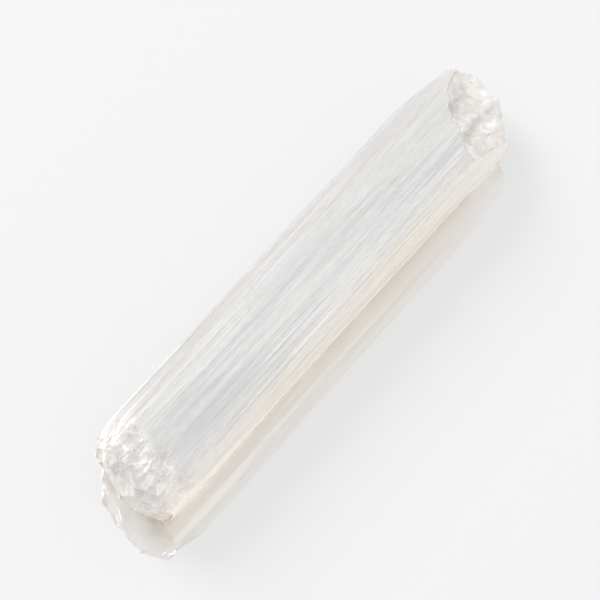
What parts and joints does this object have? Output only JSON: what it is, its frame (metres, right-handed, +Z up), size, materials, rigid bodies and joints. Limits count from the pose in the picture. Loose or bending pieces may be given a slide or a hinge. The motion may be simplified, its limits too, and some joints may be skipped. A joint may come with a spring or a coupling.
{
  "type": "selenite wand",
  "caption": "Raw selenite stick, a long fibrous satin-spar crystal with a flat top, one bevelled long edge and rough broken ends, lying on its flat side.",
  "frame": {"origin": "middle of the flat side that the wand lies on", "axes": "+X along the wand's fibres towards the oblique end, +Y towards the bevelled long edge, +Z up"},
  "size_m": [0.1542, 0.03, 0.0194],
  "materials": {
    "selenite": "clear to milky translucent, silky along the fibres, glassy on the breaks, faintly iron-stained"
  },
  "bodies": {
    "root": {"wand": "selenite"}
  },
  "joints": []
}
